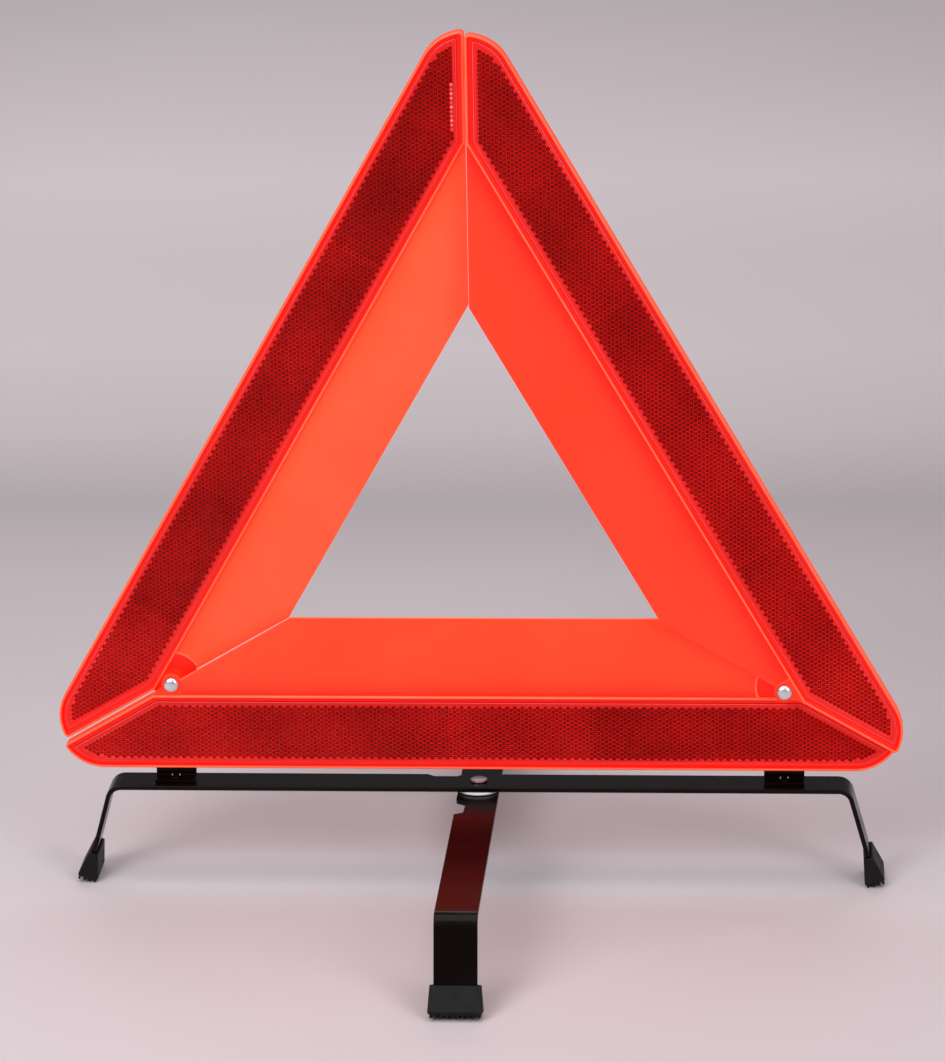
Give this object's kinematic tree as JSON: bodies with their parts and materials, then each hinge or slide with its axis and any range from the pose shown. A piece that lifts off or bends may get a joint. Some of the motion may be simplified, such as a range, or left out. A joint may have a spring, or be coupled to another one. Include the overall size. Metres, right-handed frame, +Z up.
{
  "type": "folding warning triangle",
  "caption": "Folding road warning triangle: mitred red reflector arms with fluorescent inner panels, riveted at the corners, on a crossed steel stand with rubber feet.",
  "frame": {"origin": "on the ground, straight under the centre rivet, at the bottom centre of the bounding box", "axes": "+X to the viewer's right along the base arm, +Y away from the viewer through the triangle, +Z up"},
  "size_m": [0.462, 0.4114, 0.4719],
  "materials": {
    "fluorescent_orange": "glossy fluorescent red-orange moulding",
    "red_lens": "clear red prismatic reflector",
    "black_paint": "satin black paint on steel strip",
    "black_rubber": "matte moulded rubber",
    "zinc_plate": "bright zinc plate",
    "white_nylon": "natural white nylon"
  },
  "bodies": {
    "base": {"base_arm": "fluorescent_orange", "base_reflector": "red_lens", "left_corner_rivet": "zinc_plate", "right_corner_rivet": "zinc_plate", "left_corner_washer": "zinc_plate", "right_corner_washer": "zinc_plate", "lateral_bar": "black_paint", "centre_rivet": "zinc_plate", "friction_washer": "white_nylon", "centre_washer": "zinc_plate", "left_bracket": "black_paint", "right_bracket": "black_paint", "left_bracket_rivet": "black_paint", "right_bracket_rivet": "black_paint", "left_bracket_screw_a": "zinc_plate", "left_bracket_screw_b": "zinc_plate", "right_bracket_screw_a": "zinc_plate", "right_bracket_screw_b": "zinc_plate", "left_foot": "black_rubber", "right_foot": "black_rubber"},
    "left_side": {"left_arm": "fluorescent_orange", "left_reflector": "red_lens"},
    "right_side": {"right_arm": "fluorescent_orange", "right_reflector": "red_lens"},
    "crossing": {"crossing_bar": "black_paint", "front_foot": "black_rubber", "rear_foot": "black_rubber"}
  },
  "joints": [
    {"name": "left_arm_fold", "type": "hinge", "parent": "base", "child": "left_side", "pos_m": [-0.167, -0.0061, 0.11272], "axis": [0, 0.9999, 0.0126], "range_deg": [0, 60]},
    {"name": "right_arm_fold", "type": "hinge", "parent": "base", "child": "right_side", "pos_m": [0.167, -0.0061, 0.11272], "axis": [0, -0.9999, 0.0126], "range_deg": [0, 60]},
    {"name": "crossing_bar_turn", "type": "hinge", "parent": "base", "child": "crossing", "pos_m": [0, 0, 0.0504], "axis": [0, 0, -1], "range_deg": [0, 90]}
  ]
}
